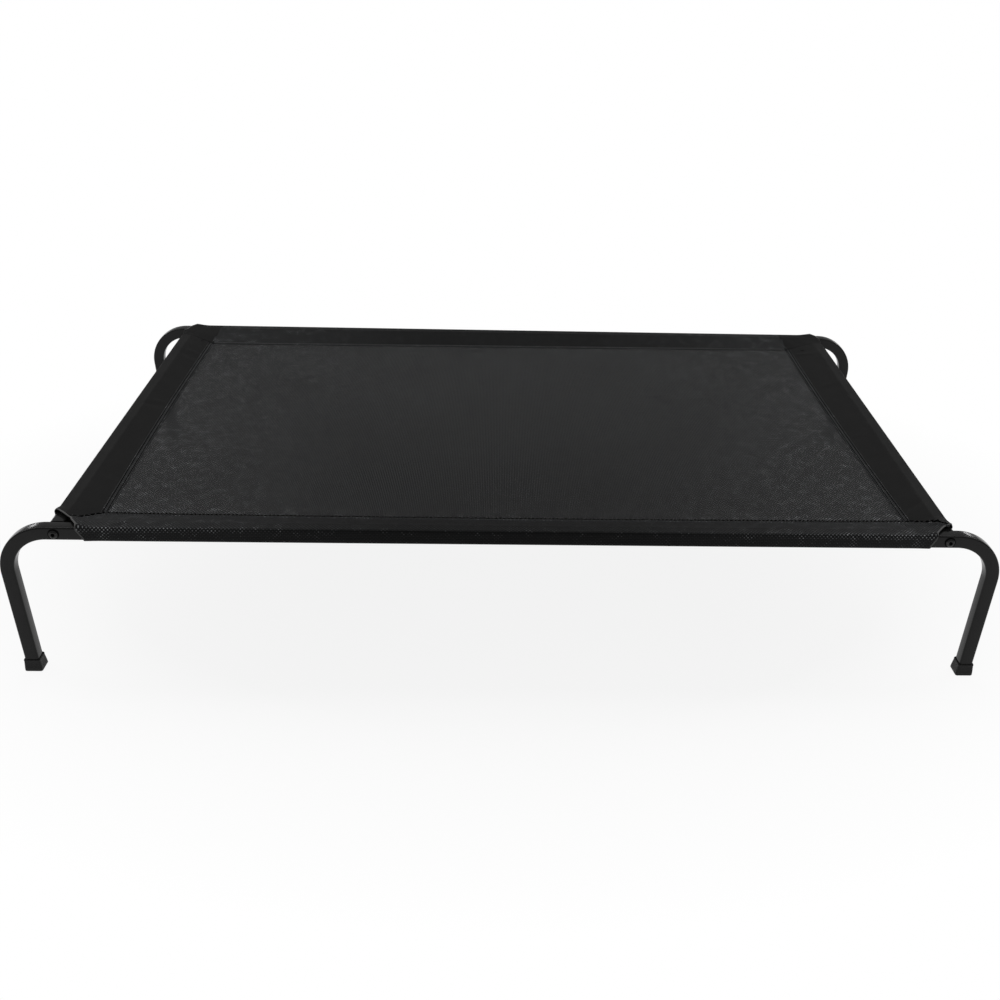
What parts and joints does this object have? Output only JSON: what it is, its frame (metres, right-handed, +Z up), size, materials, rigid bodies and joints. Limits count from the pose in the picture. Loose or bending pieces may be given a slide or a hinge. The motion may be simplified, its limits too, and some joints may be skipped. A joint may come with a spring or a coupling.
{
  "type": "raised dog bed",
  "caption": "Raised pet bed: square steel tube frame with bent legs and foot caps, holding a stretched mesh cover by sewn sleeves.",
  "frame": {"origin": "on the floor, under the middle of the bed", "axes": "+X along the bed's length, +Y across to the far long rail, +Z up"},
  "size_m": [1.2998, 0.7868, 0.2193],
  "materials": {
    "frame_coat": "satin black powder coat",
    "plated_steel": "bright zinc plate",
    "bolt_black": "black plated steel",
    "cap_plastic": "matt moulded black",
    "mesh_cloth": "open weave of coated black yarn",
    "woven_cloth": "close plain weave, matt black"
  },
  "bodies": {
    "root": {"leg_rail_near_left": "frame_coat", "leg_rail_near_right": "frame_coat", "leg_rail_far_left": "frame_coat", "leg_rail_far_right": "frame_coat", "end_rail_left": "frame_coat", "end_rail_right": "frame_coat", "rail_joiner_near": "plated_steel", "rail_joiner_far": "plated_steel", "nut_block_near_left": "plated_steel", "nut_block_near_right": "plated_steel", "nut_block_far_left": "plated_steel", "nut_block_far_right": "plated_steel", "corner_bolt_near_left": "bolt_black", "corner_bolt_near_right": "bolt_black", "corner_bolt_far_left": "bolt_black", "corner_bolt_far_right": "bolt_black", "foot_cap_near_left": "cap_plastic", "foot_cap_near_right": "cap_plastic", "foot_cap_far_left": "cap_plastic", "foot_cap_far_right": "cap_plastic", "mesh_panel": "mesh_cloth", "sleeve_near": "mesh_cloth", "sleeve_far": "mesh_cloth", "sleeve_left": "woven_cloth", "sleeve_right": "woven_cloth"}
  },
  "joints": []
}
